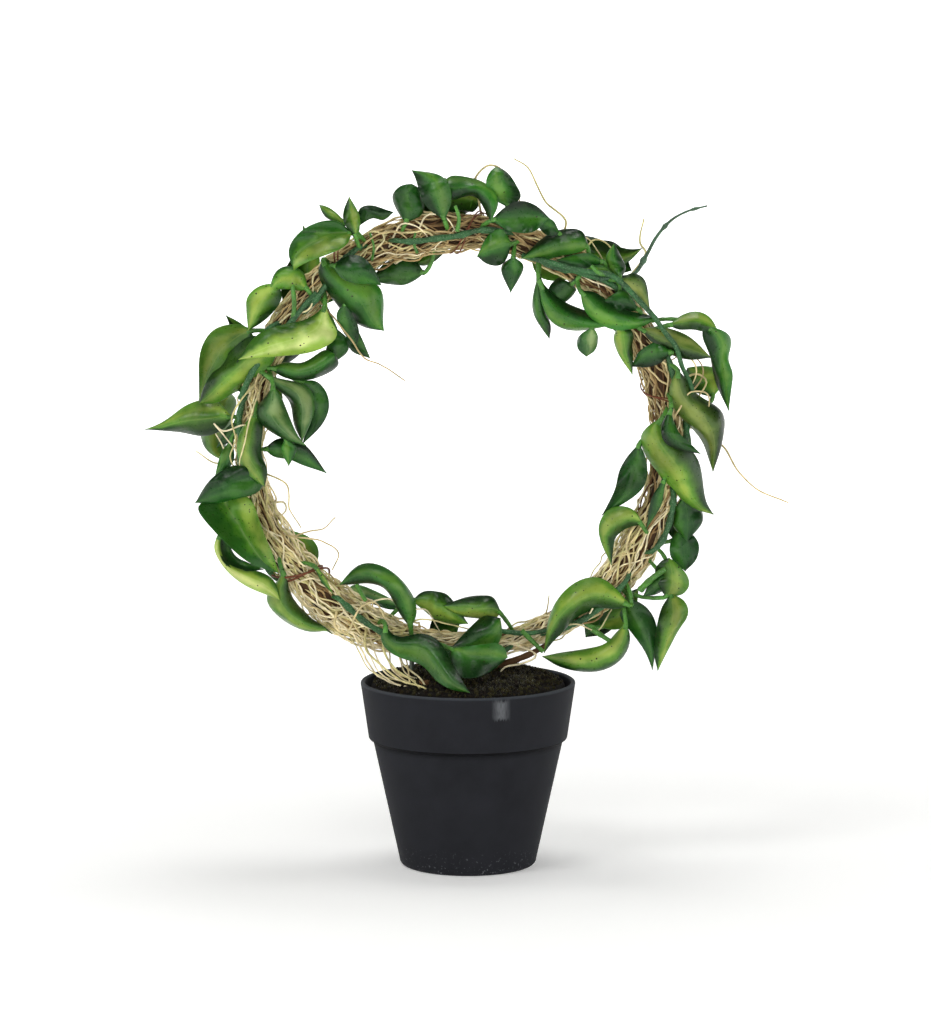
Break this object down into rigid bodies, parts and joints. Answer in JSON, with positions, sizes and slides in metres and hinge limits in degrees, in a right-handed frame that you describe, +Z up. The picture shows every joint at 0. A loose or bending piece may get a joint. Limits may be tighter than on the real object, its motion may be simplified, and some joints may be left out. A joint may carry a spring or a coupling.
{
  "type": "potted hoya",
  "caption": "Hoya trained as an upright wreath of leafy vines round a thick hoop of air roots, standing in the soil of a plain tapered nursery pot.",
  "frame": {"origin": "on the pot's axis, on the surface that the pot stands on", "axes": "+Z up the pot's axis; the hoop lies in the XZ plane and is seen from the front, -Y, with +X to the right"},
  "size_m": [0.3572, 0.12, 0.3955],
  "materials": {
    "pot_plastic": "moulded matte black plastic, lightly scuffed",
    "soil": "damp bark and peat crumbs with a little moss",
    "coated_wire": "green-grey coated steel wire",
    "air_roots": "dry tan aerial roots, matted like rope",
    "copper_tie": "dulled copper-coloured tie wire",
    "hoya_leaf": "waxy fleshy leaf, half gloss"
  },
  "bodies": {
    "root": {"pot": "pot_plastic", "soil": "soil", "hoop_wire": "coated_wire", "root_bundle": "air_roots", "tie_left": "copper_tie", "tie_upper_left": "copper_tie", "tie_top": "copper_tie", "tie_right": "copper_tie", "vine_right": "hoya_leaf", "vine_upper_right": "hoya_leaf", "vine_top": "hoya_leaf", "vine_upper_left": "hoya_leaf", "vine_left_top": "hoya_leaf", "vine_left": "hoya_leaf", "vine_lower_left": "hoya_leaf", "vine_bottom_left": "hoya_leaf", "vine_bottom": "hoya_leaf", "vine_lower_right": "hoya_leaf", "vine_right_low": "hoya_leaf"}
  },
  "joints": []
}
